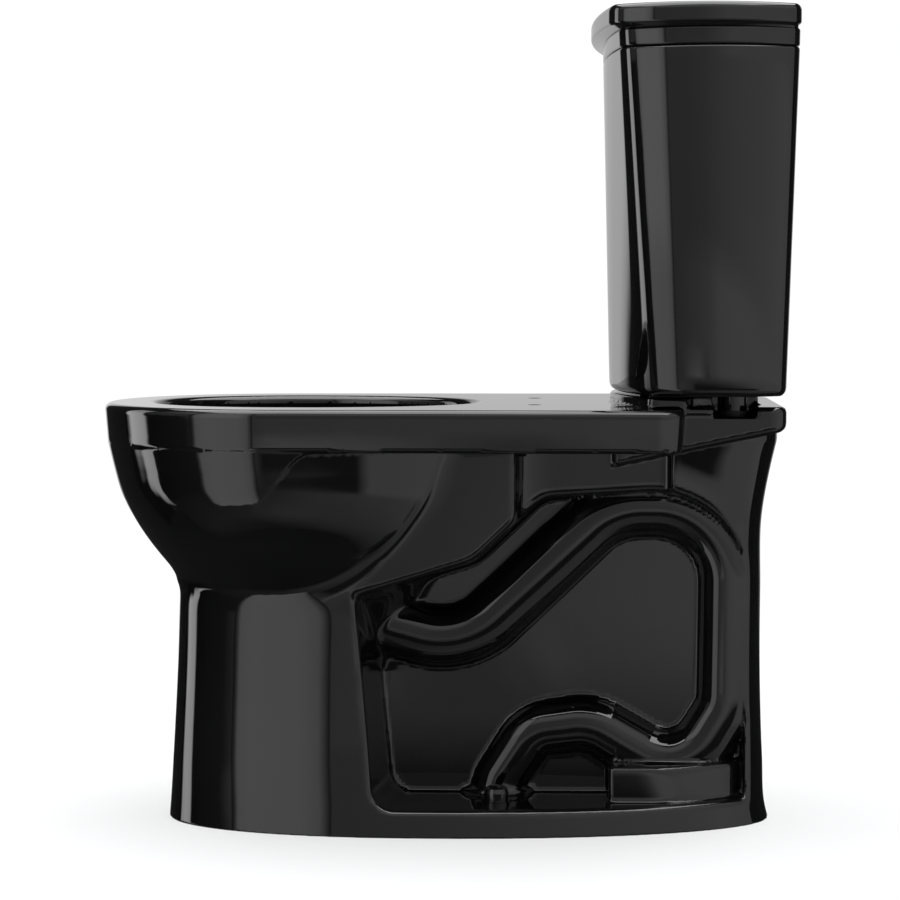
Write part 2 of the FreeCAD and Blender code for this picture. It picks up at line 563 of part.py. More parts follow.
def fill_valve():
    x, y = FILL
    floor = TANK_FLOOR_Z
    base = turned([(4.5, 384), (11.1, 384), (11.1, 408), (10.0, 408), (10.0, 410), (11.1, 410),
                   (11.1, floor + 4.2), (20.0, floor + 4.2), (20.0, floor + 9.0), (14.0, floor + 14.0),
                   (14.0, 520.0), (9.0, 520.0), (9.0, 504.9), (4.5, 504.9)], x, y)
    save(base, "fill_valve_shank")
    washer = turned([(11.3, floor), (21.0, floor), (18.0, floor + 4.1), (11.3, floor + 4.1)], x, y)
    save(washer, "fill_valve_washer")
    nut = hexagon(32.0, 411.0, 421.9, x, y).fuse(post(18.8, 419.5, 421.9, x, y))
    save(nut.cut(post(11.3, 400, 430, x, y)), "fill_valve_lock_nut")
    riser = tube(8.9, 6.0, 505.0, 652.0, x, y).cut(post(5.0, 500, 501, x, y))
    save(riser, "fill_valve_riser")
    collar = tube(17.0, 14.15, 508.0, 524.0, x, y).fuse(tube(17.0, 9.1, 520.2, 526.0, x, y))
    save(collar, "fill_valve_lock_ring")
    head = turned([(0, 652.1), (21.0, 652.1), (22.0, 656.0), (22.0, 668.0), (19.0, 671.9), (0, 671.9)], x, y)
    nipple = rod_x(3.2, x + 18, x + 38, 198.0, 662.0)
    head = head.fuse(nipple).cut(rod_x(1.6, x + 15, x + 40, 198.0, 662.0))
    ear = box(x - 6, x - 3, 180, 190, 660, 681)
    pin = rod_x(1.6, x - 4, x + 4, *FLOAT_PIVOT)
    head = fuse(head, ear, ear.translated(Vector(9, 0, 0)), pin)
    save(head, "fill_valve_head")
    cap = turned([(0, 672.0), (17.0, 672.0), (17.0, 674.5), (12.0, 676.2), (0, 676.2)], x, y)
    save(cap.cut(box(x - 8, x + 8, 175, 199, 660, 690)), "fill_valve_cap")
    lever = fuse(box(x - 2.6, x + 2.6, FLOAT_PIVOT[0], 236, 678.0, 682.0),
                 rod_x(3.4, x - 2.6, x + 2.6, *FLOAT_PIVOT), post(6.2, 678.0, 682.0, x, FLOAT_ROD_Y + 0.6))
    lever = cut(lever, rod_x(1.68, x - 5, x + 5, *FLOAT_PIVOT), post(3.6, 670, 690, x, FLOAT_ROD_Y - 0.4),
                post(3.6, 670, 690, x, FLOAT_ROD_Y + 1.2))
    save(lever, "fill_valve_float_lever")
    cup = tube(31.0, 9.6, 556.0, 612.0, x, y).cut(tube(28.5, 12.0, 550.0, 609.0, x, y))
    lug = box(x - 5, x + 5, FLOAT_ROD_Y - 6, FLOAT_ROD_Y + 5, 606, 616)
    save(cup.fuse(lug).cut(post(1.7, 600, 620, x, FLOAT_ROD_Y)), "fill_valve_float")
    rod = fuse(post(1.65, 605, 688, x, FLOAT_ROD_Y), post(4.2, 684.2, 686.4, x, FLOAT_ROD_Y),
               post(4.2, 672.4, 674.6, x, FLOAT_ROD_Y))
    save(rod, "fill_valve_float_rod")


def refill_tube():
    """Flexible tube from the fill valve's nipple to the clip on the overflow pipe."""
    nipple_x = FILL[0] + 24
    points = [(nipple_x, 198.0, 662.0), (-92, 198.0, 662.0), (-62, 178, 678), (-30, 150, 690),
              (0, OVERFLOW_Y, 682), (0, OVERFLOW_Y, 652)]
    at = [Vector(*p) for p in points]
    edges = []
    last = at[0]
    for i in range(1, len(at) - 1):
        back = at[i - 1] - at[i]
        ahead = at[i + 1] - at[i]
        half_angle = back.getAngle(ahead) / 2
        reach = 0.45 * min(back.Length, ahead.Length)
        radius = reach * math.tan(half_angle)
        back.normalize()
        ahead.normalize()
        start = at[i] + back * reach
        end = at[i] + ahead * reach
        bisector = (back + ahead).normalize()
        middle = at[i] + bisector * (radius / math.sin(half_angle) - radius)
        edges.append(Part.LineSegment(last, start).toShape())
        edges.append(Part.Arc(start, middle, end).toShape())
        print("refill tube bend radius", round(radius, 1))
        last = end
    edges.append(Part.LineSegment(last, at[-1]).toShape())
    route = Part.Wire(edges)
    bar = swept(route, 4.6, X_AXIS)
    print("refill tube volume ratio", round(bar.Volume / (math.pi * 4.6 ** 2 * route.Length), 4))
    bar = bar.cut(rod_x(3.25, nipple_x - 1, FILL[0] + 38.2, 198.0, 662.0))
    save(bar, "refill_tube")
    clip = fuse(tube(7.0, 4.7, 655.0, 667.0, 0, OVERFLOW_Y), tube(17.5, 4.7, 664.1, 666.0, 0, OVERFLOW_Y),
                tube(17.5, 15.2, 652.0, 665.0, 0, OVERFLOW_Y))
    save(clip, "refill_clip")


if __name__ == "__main__":
    save(bowl(), "bowl")
    bolt_caps()
    save(tank(), "tank")
    save(tank_lid(), "tank_lid")
    tank_fixings()
    flush_valve()
    flapper()
    trip_lever()
    chain()
    fill_valve()
    refill_tube()
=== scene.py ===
"""Black glazed close coupled toilet in a plain studio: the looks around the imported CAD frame."""
import json
import math

import bpy
import numpy as np
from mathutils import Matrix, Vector


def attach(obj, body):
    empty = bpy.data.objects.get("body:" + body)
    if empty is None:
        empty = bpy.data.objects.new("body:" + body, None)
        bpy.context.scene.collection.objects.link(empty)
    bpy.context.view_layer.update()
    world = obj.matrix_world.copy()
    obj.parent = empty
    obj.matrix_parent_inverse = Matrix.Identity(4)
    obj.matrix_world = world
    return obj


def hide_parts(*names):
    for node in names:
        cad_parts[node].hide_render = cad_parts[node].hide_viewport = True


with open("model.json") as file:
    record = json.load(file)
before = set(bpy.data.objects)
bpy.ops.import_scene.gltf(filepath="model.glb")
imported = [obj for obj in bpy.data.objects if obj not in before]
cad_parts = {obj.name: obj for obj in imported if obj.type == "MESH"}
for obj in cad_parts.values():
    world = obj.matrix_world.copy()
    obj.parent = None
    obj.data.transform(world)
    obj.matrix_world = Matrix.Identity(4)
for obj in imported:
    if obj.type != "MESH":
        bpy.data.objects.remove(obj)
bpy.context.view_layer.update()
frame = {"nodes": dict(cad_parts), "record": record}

MM = 0.001

# ---------------------------------------------------------------- smooth solids as distances, in millimetres


def hermite(at, knots, values):
    """Smooth curve through a table's values, held level past its ends."""
    slopes = np.gradient(values, knots)
    at = np.clip(at, knots[0], knots[-1])
    i = np.clip(np.searchsorted(knots, at, side="right") - 1, 0, len(knots) - 2)
    span = knots[i + 1] - knots[i]
    t = (at - knots[i]) / span
    start = values[i] * (1 + 2 * t) * (1 - t) ** 2 + slopes[i] * span * t * (1 - t) ** 2
    return start + values[i + 1] * t * t * (3 - 2 * t) + slopes[i + 1] * span * t * t * (t - 1)


def smin(a, b, k):
    """Union of two solids with a soft inner corner."""
    h = np.maximum(k - np.abs(a - b), 0.0) / k
    return np.minimum(a, b) - h * h * h * k / 6.0


def smax(a, b, k):
    """Intersection of two solids with a soft outer corner."""
    return -smin(-a, -b, k)


def round_max(a, b, r):
    """Intersection of two slabs whose corner is a true arc."""
    u = np.maximum(a + r, 0.0)
    v = np.maximum(b + r, 0.0)
    return np.minimum(np.maximum(a + r, b + r), 0.0) + np.hypot(u, v) - r


def egg(x, y, z, table):
    """Distance from a stack of egg outlines: superellipse in front of the widest place, another behind it."""
    knots = table[:, 0]

    def ratio(height):
        values = [hermite(height, knots, table[:, column]) for column in range(1, 7)]
        front, rear, half, widest, n_front, n_rear = values
        behind = y > widest
        n = np.where(behind, n_rear, n_front)
        reach = np.where(behind, rear - widest, widest - front)
        u = np.abs(x) / half + 1e-9
        v = np.abs(y - widest) / reach + 1e-9
        r = (u ** n + v ** n) ** (1 / n)
        return r, (u / r) ** (n - 1) / half, (v / r) ** (n - 1) / reach

    here, gx, gy = ratio(z)
    above = ratio(z + 1.0)[0]
    return (here - 1) / np.sqrt(gx * gx + gy * gy + (above - here) ** 2)


def cylinder(x, y, z, cx, cy, r, z0, z1):
    """Upright round bar at (cx, cy), from z0 to z1."""
    return np.maximum(np.hypot(x - cx, y - cy) - r, np.maximum(z0 - z, z - z1))


def block(x, y, z, x1, y0, y1, z0, z1):
    """Box across the middle plane, from -x1 to x1."""
    return np.maximum(np.maximum(np.abs(x) - x1, np.maximum(y0 - y, y - y1)), np.maximum(z0 - z, z - z1))


# ---------------------------------------------------------------- the bowl's driving sizes

RIM_Z, BAND_Z, LEDGE_Z, PLATFORM_Z, NOTCH_Z = 410.0, 370.0, 26.0, 420.0, 401.0
RIM_CENTRE_Y, RIM_R = -208.0, 178.0
RIM_FRONT_Y = RIM_CENTRE_Y - RIM_R
DECK_HALF, DECK_REAR_Y, DECK_CORNER = 187.0, 176.0, 26.0
SHELF_HALF, SHELF_REAR_Y = 112.0, 274.0
WALL = 11.0
WEB_HALF = 15.0
CHANNEL_HALF = 56.0
TRAP_WIDEN = 1.35
TRAP_BORE_R = 21.0
OUTLET_R, HORN_R = 30.0, 38.0
FLUSH_Y = 196.0
FILL_HOLE, FILL_NUT_ROOM_R = (-140.0, 205.0), 27.0
TANK_BOLT, TANK_BOLT_HOLE_R = (85.0, 225.0), 5.5
SEAT_HOLE = (69.85, 36.0)
FLOOR_BOLT_X = 76.2
BOLT_HOLE_R = 6.5
BELLY_LOW_Z, BELLY_TOP_Z = 238.0, 372.0
WELL_LOW_Z, BASIN_TOP_Z = 146.0, 364.0
TUNNEL_LOW_Z, TUNNEL_TOP_Z = 376.0, 398.0

# height, front, rear, half width, widest place, front exponent, rear exponent
PEDESTAL = np.array([
    (0, -325, 267, 121, -60, 2.25, 2.05), (12, -324, 264, 119, -60, 2.25, 2.05),
    (60, -321, 261, 111, -60, 2.25, 2.05), (150, -316, 258, 105, -60, 2.25, 2.05),
    (230, -313, 258, 103, -60, 2.25, 2.1), (300, -308, 259, 96, -60, 2.25, 2.2),
    (352, -304, 268, 90, -60, 2.25, 2.5), (374, -302, 273, 88, -60, 2.25, 2.8)], float)
BELLY = np.array([
    (240, -312, -110, 66, -156, 2.2, 2.0), (250, -319, -90, 84, -158, 2.2, 2.0),
    (262, -330, -70, 102, -166, 2.15, 2.0),
    (289, -349, -52, 136, -188, 2.1, 2.0), (318, -365, -42, 157, -202, 2.05, 2.0),
    (349, -376.5, -34, 168, -208, 2.0, 2.0), (372, -382.5, -30, 174, -208, 2.0, 2.0)], float)
BASIN = np.array([
    (146, -205, -128, 26, -165, 2.1, 2.0), (166, -222, -116, 38, -168, 2.1, 2.0),
    (196, -250, -103, 52, -172, 2.1, 2.0), (230, -286, -86, 76, -180, 2.1, 1.95),
    (265, -318, -66, 106, -190, 2.1, 1.9), (300, -343, -46, 133, -200, 2.1, 1.8),
    (330, -357, -28, 147, -205, 2.1, 1.75), (364, -360, -15, 151, -206, 2.1, 1.7)], float)
# front, rear, half width, widest place
RIM_OPENING = (-334.0, -23.0, 121.0, -196.0)
# corners of the trapway's centreline in the middle plane, and the radius that rounds each inner one
TRAP_POINTS = [(-142, 201), (-34, 171), (110, 308), (226, 308), (224, 112), (193, 60), (152, 60),
               (92, 96), (34, 88), (0, 36), (0, 0)]
TRAP_RADII = [75, 76, 72, 50, 46, 60, 50, 36, 30]


def route_pieces(points, radii):
    """Straight runs and tangent arcs of the trapway's centreline, each with its place along the line."""
    at = [np.array(p, float) for p in points]
    pieces = []
    last = at[0]
    along = 0.0
    for i in range(1, len(at) - 1):
        back = (at[i - 1] - at[i]) / np.linalg.norm(at[i - 1] - at[i])
        ahead = (at[i + 1] - at[i]) / np.linalg.norm(at[i + 1] - at[i])
        half_angle = math.acos(float(np.clip(back @ ahead, -1, 1))) / 2
        r = radii[i - 1]
        start = at[i] + back * r / math.tan(half_angle)
        end = at[i] + ahead * r / math.tan(half_angle)
        middle = (back + ahead) / np.linalg.norm(back + ahead)
        centre = at[i] + middle * r / math.sin(half_angle)
        run = float(np.linalg.norm(start - last))
        pieces.append(("run", last, start, along, run))
        along += run
        sweep = math.pi - 2 * half_angle
        pieces.append(("arc", centre, -middle, r, sweep, along, start))
        along += r * sweep
        last = end
    run = float(np.linalg.norm(at[-1] - last))
    pieces.append(("run", last, at[-1], along, run))
    return pieces


TRAP_PIECES = route_pieces(TRAP_POINTS, TRAP_RADII)
# place along the line, and the tube's outer radius in the middle plane there
TRAP_OUTER = np.array([(0, 31), (250, 31), (420, 29.5), (560, 29.5), (640, 31),
                       (760, 29), (900, 26), (980, 27), (1100, 33)], float)


def trap_distance(y, z):
    """Distance in the middle plane from the trapway's centreline, and how far along it that is."""
    best = np.full(y.shape, 1e9)
    place = np.zeros(y.shape)
    for piece in TRAP_PIECES:
        if piece[0] == "run":
            _, a, b, along, length = piece
            if length < 1e-6:
                continue
            t = np.clip(((y - a[0]) * (b[0] - a[0]) + (z - a[1]) * (b[1] - a[1])) / length ** 2, 0, 1)
            d = np.hypot(y - a[0] - t * (b[0] - a[0]), z - a[1] - t * (b[1] - a[1]))
            s = along + t * length
        else:
            _, centre, middle, r, sweep, along, start = piece
            u, v = y - centre[0], z - centre[1]
            angle = np.arctan2(middle[0] * v - middle[1] * u, middle[0] * u + middle[1] * v)
            first = math.atan2(middle[0] * (start[1] - centre[1]) - middle[1] * (start[0] - centre[0]),
                               middle[0] * (start[0] - centre[0]) + middle[1] * (start[1] - centre[1]))
            d = np.where(np.abs(angle) <= sweep / 2, np.abs(np.hypot(u, v) - r), 1e9)
            s = along + r * np.clip((angle - first) * (1 if first < 0 else -1), 0, sweep)
        closer = d < best
        best = np.where(closer, d, best)
        place = np.where(closer, s, place)
    return best, place


def deck_plan(x, y):
    """The deck's outline seen from above: round front, nearly straight sides, rounded rear corners."""
    turn = math.asin((DECK_HALF - RIM_R) / (DECK_REAR_Y - RIM_CENTRE_Y))
    px, py = np.abs(x), y - RIM_CENTRE_Y
    ahead_of_tangent = px * math.sin(turn) + py * math.cos(turn) < 0
    side = np.where(ahead_of_tangent, np.hypot(px, py), px * math.cos(turn) - py * math.sin(turn)) - RIM_R
    return round_max(side, y - DECK_REAR_Y, DECK_CORNER)


def opening_plan(x, y):
    """The rim's opening seen from above."""
    front, rear, half, widest = RIM_OPENING
    reach = np.where(y > widest, rear - widest, widest - front)
    n = 2.1
    u, v = np.abs(x) / half + 1e-9, np.abs(y - widest) / reach + 1e-9
    r = (u ** n + v ** n) ** (1 / n)
    return (r - 1) / np.hypot((u / r) ** (n - 1) / half, (v / r) ** (n - 1) / reach)


def recess(x, y, z):
    """Drafted pocket in each side of the pedestal, down to the web that carries the trapway."""
    outer_x = 112.0
    corner_y, corner_z = -137.0, 229.0
    crown_y, crown_z, crown_r = 147.0, 227.0, 106.0
    depth = np.clip((outer_x - np.abs(x)) / (outer_x - WEB_HALF), 0.0, 1.0)
    left = (corner_y + (corner_z - z) * 20.0 / (corner_z - LEDGE_Z) + 15.0 * depth) - y
    floor = LEDGE_Z - z
    rear = y - 246.0 + 6.0 * depth
    # two straight lines of the roof, and the cosines of their slopes
    low_line = (z - corner_z - (y - corner_y) * 36.0 / 117.0) * 0.956
    steep_line = (z - 264.0 - (y + 24.0) * 0.965) * 0.720
    roof_front = smin(low_line, steep_line, 8.0)
    level = z - (crown_z + crown_r) + (crown_y - np.minimum(y, crown_y)) * 0.06
    crown = np.where(y > crown_y, np.hypot(y - crown_y, z - crown_z) - crown_r, level)
    crown = np.where((y > crown_y) & (z < crown_z), y - crown_y - crown_r, crown)
    roof = smax(roof_front, crown, 12.0) + 12.0 * depth
    corner = round_max(left, floor, 20.0)
    shape = smax(smax(corner, roof, 12.0), rear, 10.0)
    return smax(shape, WEB_HALF - np.abs(x), 5.0)


def under_deck(across, y, z):
    """Open space on each side of the flush channel, below the deck."""
    space = smax(smax(CHANNEL_HALF - across, 18.0 - y, 44.0), y - 167.0, 14.0)
    return smax(smax(space, z - BAND_Z, 4.0), 300.0 - z, 10.0)


def rim_band(x, y, z):
    """Rim and deck, with a lower edge at the sides; in front the band runs on into the belly."""
    belly_line = np.where(z < BELLY_TOP_Z, hermite(z, BELLY[:, 0], BELLY[:, 1]) - RIM_FRONT_Y, 0.0)
    draft = smax((RIM_Z - z) * 0.085, belly_line, 3.0)
    band = round_max(deck_plan(x, y) + draft, z - RIM_Z, 7.0)
    forward = np.clip((-170.0 - y) / 60.0, 0.0, 1.0)
    low_edge = BAND_Z - 50.0 * forward * forward * (3.0 - 2.0 * forward)
    return smax(band, low_edge - z, 3.0)


def tank_shelf(across, y, z):
    """Shelf behind the deck, whose underside climbs to the rear."""
    sides = round_max(across - SHELF_HALF, y - SHELF_REAR_Y, 16.0)
    under = (356.0 + (y - 126.0) * 29.0 / 138.0 - z) * 0.978
    shelf = round_max(round_max(sides, z - RIM_Z, 5.0), under, 7.0)
    return smax(shelf, 112.0 - y, 6.0)


def tank_platform(across, y, z):
    """Raised bed that the tank stands on, with a bowed front, and a narrower part behind it."""
    front_arc = np.hypot(across, y - 418.1) - 308.1
    bed = smax(smax(across - 140.0, front_arc, 8.0), y - 204.0, 6.0)
    bed = np.minimum(bed, smax(smax(across - 62.0, y - 250.0, 6.0), 180.0 - y, 2.0))
    return smax(smax(bed, z - PLATFORM_Z, 4.0), RIM_Z - 6.0 - z, 1.0)


def rear_foot(across, y, z, pedestal):
    """Low block on the ledge at the rear, held inside the pedestal's outline."""
    foot = smax(smax(across - 70.0, np.maximum(108.0 - y, y - 250.0), 10.0), z - 60.0, 6.0)
    return smax(foot, pedestal + 14.0, 8.0)


def trapway(across, y, z, off, along):
    """The trapway's tube, a little flat and wider than it is deep, and the horn at its outlet."""
    flat = 2.25
    tube = (off ** flat + (across / TRAP_WIDEN) ** flat) ** (1 / flat)
    tube = tube - hermite(along, TRAP_OUTER[:, 0], TRAP_OUTER[:, 1])
    tube = smax(tube, -z, 1.0)
    horn = smax(np.hypot(across, y) - HORN_R, z - 30.0, 6.0)
    return smin(tube, horn, 12.0)


def china(x, y, z):
    """Signed distance to the bowl casting, negative inside."""
    across = np.abs(x)
    pedestal = egg(x, y, z, PEDESTAL)
    belly = smax(smax(egg(x, y, z, BELLY), BELLY_LOW_Z - z, 8.0), z - BELLY_TOP_Z, 2.0)
    forward = np.clip((-230.0 - y) / 60.0, 0.0, 1.0)
    body = smax(smin(pedestal, belly, 7.0 + 17.0 * forward), z - 384.0, 4.0)
    body = smax(body, -under_deck(across, y, z), 8.0)
    body = smin(body, rim_band(x, y, z), 2.5)
    body = smin(body, tank_shelf(across, y, z), 6.0)
    body = smin(body, tank_platform(across, y, z), 4.0)
    nut_room = cylinder(across, y, z, -FILL_HOLE[0], FILL_HOLE[1], FILL_NUT_ROOM_R, RIM_Z + 0.5, 440.0)
    body = smax(body, -nut_room, 3.0)
    notch = smax(smax(62.0 - across, np.maximum(204.0 - y, y - 245.0), 5.0), NOTCH_Z - z, 5.0)
    body = smax(body, -notch, 4.0)
    body = smax(body, -recess(x, y, z), 10.0)
    body = smin(body, rear_foot(across, y, z, pedestal), 4.0)
    well = smax(egg(x, y, z, BASIN) - WALL, WELL_LOW_Z - 8.0 - z, 24.0)
    well = smax(well, z - 366.0, 3.0)
    body = smin(body, well, 16.0)
    off, along = trap_distance(y, z)
    body = smin(body, trapway(across, y, z, off, along), 5.0)
    return smax(smax(body, -hollows(x, y, z, pedestal, off, along), 6.0), -z, 2.0)


def hollows(x, y, z, pedestal, off, along):
    """Everything that is empty inside the casting."""
    across = np.abs(x)
    basin = smax(smax(egg(x, y, z, BASIN), WELL_LOW_Z - z, 22.0), z - BASIN_TOP_Z, 6.0)
    opening = opening_plan(x, y)
    flare = np.maximum(z - (RIM_Z - 6.0), 0.0)
    mouth = smax(opening - 0.09 * flare ** 2, 352.0 - z, 4.0)
    bore = np.minimum(hermite(along, TRAP_OUTER[:, 0], TRAP_OUTER[:, 1]) - 7.5, TRAP_BORE_R)
    passage = np.hypot(off, across / TRAP_WIDEN) - bore
    space = smin(smin(basin, mouth, 8.0), passage, 6.0)
    low = np.maximum(y + 150.0, z - 122.0)
    high = np.maximum(y + 246.0, z - 205.0)
    foot_hollow = smax(pedestal + WALL, smin(low, high, 10.0), 10.0)
    flange = np.maximum(np.maximum(np.hypot(across, y) - 62.0, HORN_R - np.hypot(across, y)), z - 14.0)
    outlet = cylinder(x, y, z, 0, 0, OUTLET_R, -9, 26)
    tunnel = np.maximum(deck_plan(x, y) + 12.0, 9.0 - opening)
    tunnel = np.maximum(tunnel, np.maximum(TUNNEL_LOW_Z - z, z - TUNNEL_TOP_Z))
    tunnel = np.maximum(tunnel, y - 8.0)
    feed = block(x, y, z, 40.0, -12.0, FLUSH_Y + 34.0, 344.0, TUNNEL_TOP_Z)
    inlet = cylinder(x, y, z, 0, FLUSH_Y, 29.0, 380, 430)
    inlet_pocket = cylinder(x, y, z, 0, FLUSH_Y, 46.0, 404, 430)
    nut = cylinder(across, y, z, *TANK_BOLT, 14.0, 340, 388)
    for part in (foot_hollow, flange, outlet, tunnel, feed, inlet, inlet_pocket, nut):
        space = np.minimum(space, part)
    return space


# ---------------------------------------------------------------- mesh from a distance


def gradient(solid, p, step=0.25):
    """Slope of the distance at each point."""
    g = np.empty_like(p)
    for axis in range(3):
        shift = np.zeros(3)
        shift[axis] = step
        ahead, behind = p + shift, p - shift
        g[:, axis] = (solid(*ahead.T) - solid(*behind.T)) / (2 * step)
    return g


def symmetric_mesh(solid, low, high, cell):
    """Points and quads on the surface of a solid that is the same on both sides of X = 0."""
    counts = [int(math.ceil((high[a] - low[a]) / cell)) + 1 for a in range(3)]
    counts[0] = int(math.ceil(high[0] / cell)) + 2
    xs = (np.arange(counts[0]) - 0.5) * cell
    ys = low[1] + np.arange(counts[1]) * cell
    zs = low[2] + np.arange(counts[2]) * cell
    field = np.empty(counts)
    plane_y, plane_z = np.meshgrid(ys, zs, indexing="ij")
    for i, x in enumerate(xs):
        field[i] = solid(np.full(plane_y.shape, x), plane_y, plane_z)
    inside = field < 0
    shape = tuple(c - 1 for c in counts)
    total = np.zeros(shape + (3,))
    number = np.zeros(shape)
    for axis in range(3):
        others = [a for a in range(3) if a != axis]
        low_part = [slice(None)] * 3
        high_part = [slice(None)] * 3
        low_part[axis], high_part[axis] = slice(None, -1), slice(1, None)
        a, b = field[tuple(low_part)], field[tuple(high_part)]
        crossed = (a < 0) != (b < 0)
        t = np.where(crossed, a / np.where(crossed, a - b, 1.0), 0.0)
        for u in (0, 1):
            for v in (0, 1):
                part = [slice(None)] * 3
                part[others[0]] = slice(u, shape[others[0]] + u)
                part[others[1]] = slice(v, shape[others[1]] + v)
                hit, where = crossed[tuple(part)], t[tuple(part)]
                number += hit
                offset = np.zeros(shape + (3,))
                offset[..., axis] = where
                offset[..., others[0]] = u
                offset[..., others[1]] = v
                total += offset * hit[..., None]
    used = number > 0
    index = np.full(shape, -1)
    index[used] = np.arange(int(used.sum()))
    cells = np.argwhere(used)
    points = (cells + total[used] / number[used][:, None]) * cell
    points += np.array([xs[0], ys[0], zs[0]])
    middle = cells[:, 0] == 0
    points[middle, 0] = 0.0
    faces = []
    for axis in range(3):
        others = [a for a in range(3) if a != axis]
        low_part = [slice(None)] * 3
        high_part = [slice(None)] * 3
        low_part[axis], high_part[axis] = slice(None, -1), slice(1, None)
        a, b = inside[tuple(low_part)], inside[tuple(high_part)]
        edges = np.argwhere(a != b)
        if axis != 0:
            edges = edges[edges[:, 0] >= 1]
        edges = edges[(edges[:, others[0]] >= 1) & (edges[:, others[1]] >= 1)]
        corners = []
        for u, v in ((1, 1), (0, 1), (0, 0), (1, 0)):
            c = edges.copy()
            c[:, others[0]] -= u
            c[:, others[1]] -= v
            corners.append(index[tuple(c.T)])
        quad = np.stack(corners, 1)
        flip = a[tuple(edges.T)] == (axis == 1)
        quad[flip] = quad[flip][:, ::-1]
        faces.append(quad)
    faces = np.concatenate(faces)
    faces = faces[(faces >= 0).all(1)]
    for _ in range(3):
        g = gradient(solid, points)
        length2 = np.maximum((g * g).sum(1), 0.05)
        step = (solid(*points.T) / length2)[:, None] * g
        step = np.clip(step, -0.6 * cell, 0.6 * cell)
        points = points - step
        points[middle, 0] = 0.0
    # the other half
    twin = np.arange(len(points))
    side = np.flatnonzero(~middle)
    twin[side] = len(points) + np.arange(len(side))
    flipped = np.array([-1.0, 1.0, 1.0])
    points = np.concatenate([points, points[side] * flipped])
    faces = np.concatenate([faces, twin[faces][:, ::-1]])
    return points, faces


def new_mesh(name, points, faces):
    """Smooth mesh object from millimetre points; faces may be a numpy array of quads or a list."""
    mesh = bpy.data.meshes.new(name)
    if isinstance(faces, np.ndarray):
        mesh.vertices.add(len(points))
        mesh.vertices.foreach_set("co", (points * MM).astype(np.float32).ravel())
        mesh.loops.add(faces.size)
        mesh.loops.foreach_set("vertex_index", faces.astype(np.int32).ravel())
        mesh.polygons.add(len(faces))
        mesh.polygons.foreach_set("loop_start", np.arange(0, faces.size, 4, dtype=np.int32))
        mesh.update(calc_edges=True)
        mesh.validate()
    else:
        mesh.from_pydata([tuple(c * MM for c in p) for p in points], [], faces)
        mesh.update()
    mesh.polygons.foreach_set("use_smooth", [True] * len(mesh.polygons))
    piece = bpy.data.objects.new(name, mesh)
    bpy.context.scene.collection.objects.link(piece)
    return piece


def apply_modifiers(piece):
    """Bakes a piece's modifiers into its mesh."""
    graph = bpy.context.evaluated_depsgraph_get()
    mesh = bpy.data.meshes.new_from_object(piece.evaluated_get(graph))
    old = piece.data
    piece.modifiers.clear()
    piece.data = mesh
    mesh.name = piece.name
    bpy.data.meshes.remove(old)


def post(radius, low, high, steps=40):
    """Closed round bar between two points, in millimetres, as points and faces."""
    a, b = Vector(low), Vector(high)
    axis = (b - a).normalized()
    side = axis.orthogonal().normalized()
    other = axis.cross(side)
    points = []
    for end in (a, b):
        for i in range(steps):
            turn = 2 * math.pi * i / steps
            points.append(tuple(end + side * radius * math.cos(turn) + other * radius * math.sin(turn)))
    faces = [(i, (i + 1) % steps, steps + (i + 1) % steps, steps + i) for i in range(steps)]
    faces.append(tuple(reversed(range(steps))))
    faces.append(tuple(range(steps, 2 * steps)))
    return points, faces


def upright(radius, x, y, low, high, steps=40):
    return post(radius, (x, y, low), (x, y, high), steps)


def joined(name, parts):
    """One mesh object from several (points, faces) parts."""
    points, faces = [], []
    for part_points, part_faces in parts:
        start = len(points)
        points += part_points
        faces += [tuple(start + i for i in f) for f in part_faces]
    return new_mesh(name, points, faces)


def boolean(piece, tool, operation):
    """Cuts or joins a scratch tool, then removes it."""
    modifier = piece.modifiers.new("cut", "BOOLEAN")
    modifier.operation = operation
    modifier.solver = "EXACT"
    modifier.object = tool
    apply_modifiers(piece)
    bpy.data.objects.remove(tool)


# ---------------------------------------------------------------- tank and lid

# height, front centre, front corner half width and place, side half width, rear corner half width, rear
TANK_LOW = (422.0, 109.4, 150.0, 138.0, 175.0, 152.0, 269.5)
TANK_HIGH = (741.0, 102.5, 175.0, 115.0, 208.0, 181.0, 277.0)
LID_BAND_HIGH = (757.0, 102.2, 176.0, 114.0, 209.0, 182.0, 277.2)
LID_SLAB = (779.0, 90.6, 183.0, 105.0, 215.0, 186.0, 278.0)
TANK_WALL, TANK_FLOOR_Z, LID_GAP = 9.0, 432.0, 0.3
TANK_MIDDLE_Y = 192.0
LEVER_Y, LEVER_Z, LEVER_PAD_X, LEVER_INNER_X = 172.0, 700.0, 211.0, 183.0


def arc_through(ax, ay, bx, by, cx, cy):
    """Centre and radius of the circle through three places."""
    d = 2 * (ax * (by - cy) + bx * (cy - ay) + cx * (ay - by))
    a2, b2, c2 = ax ** 2 + ay ** 2, bx ** 2 + by ** 2, cx ** 2 + cy ** 2
    ux = (a2 * (by - cy) + b2 * (cy - ay) + c2 * (ay - by)) / d
    uy = (a2 * (cx - bx) + b2 * (ax - cx) + c2 * (bx - ax)) / d
    return ux, uy, math.hypot(ax - ux, ay - uy)


def tank_plan(x, y, sizes, corner, rear_corner):
    """Distance from the tank's outline: bowed front and sides, straight back."""
    _, front, corner_x, corner_y, side_x, rear_x, rear_y = sizes
    fx, fy, fr = arc_through(-corner_x, corner_y, 0.0, front, corner_x, corner_y)
    sx, sy, sr = arc_through(corner_x, corner_y, side_x, (corner_y + rear_y) / 2, rear_x, rear_y)
    bowed_front = np.hypot(x - fx, y - fy) - fr
    bowed_side = np.hypot(np.maximum(np.abs(x) - sx, 0.0), y - sy) - sr
    return round_max(round_max(bowed_side, bowed_front, corner), y - rear_y, rear_corner)


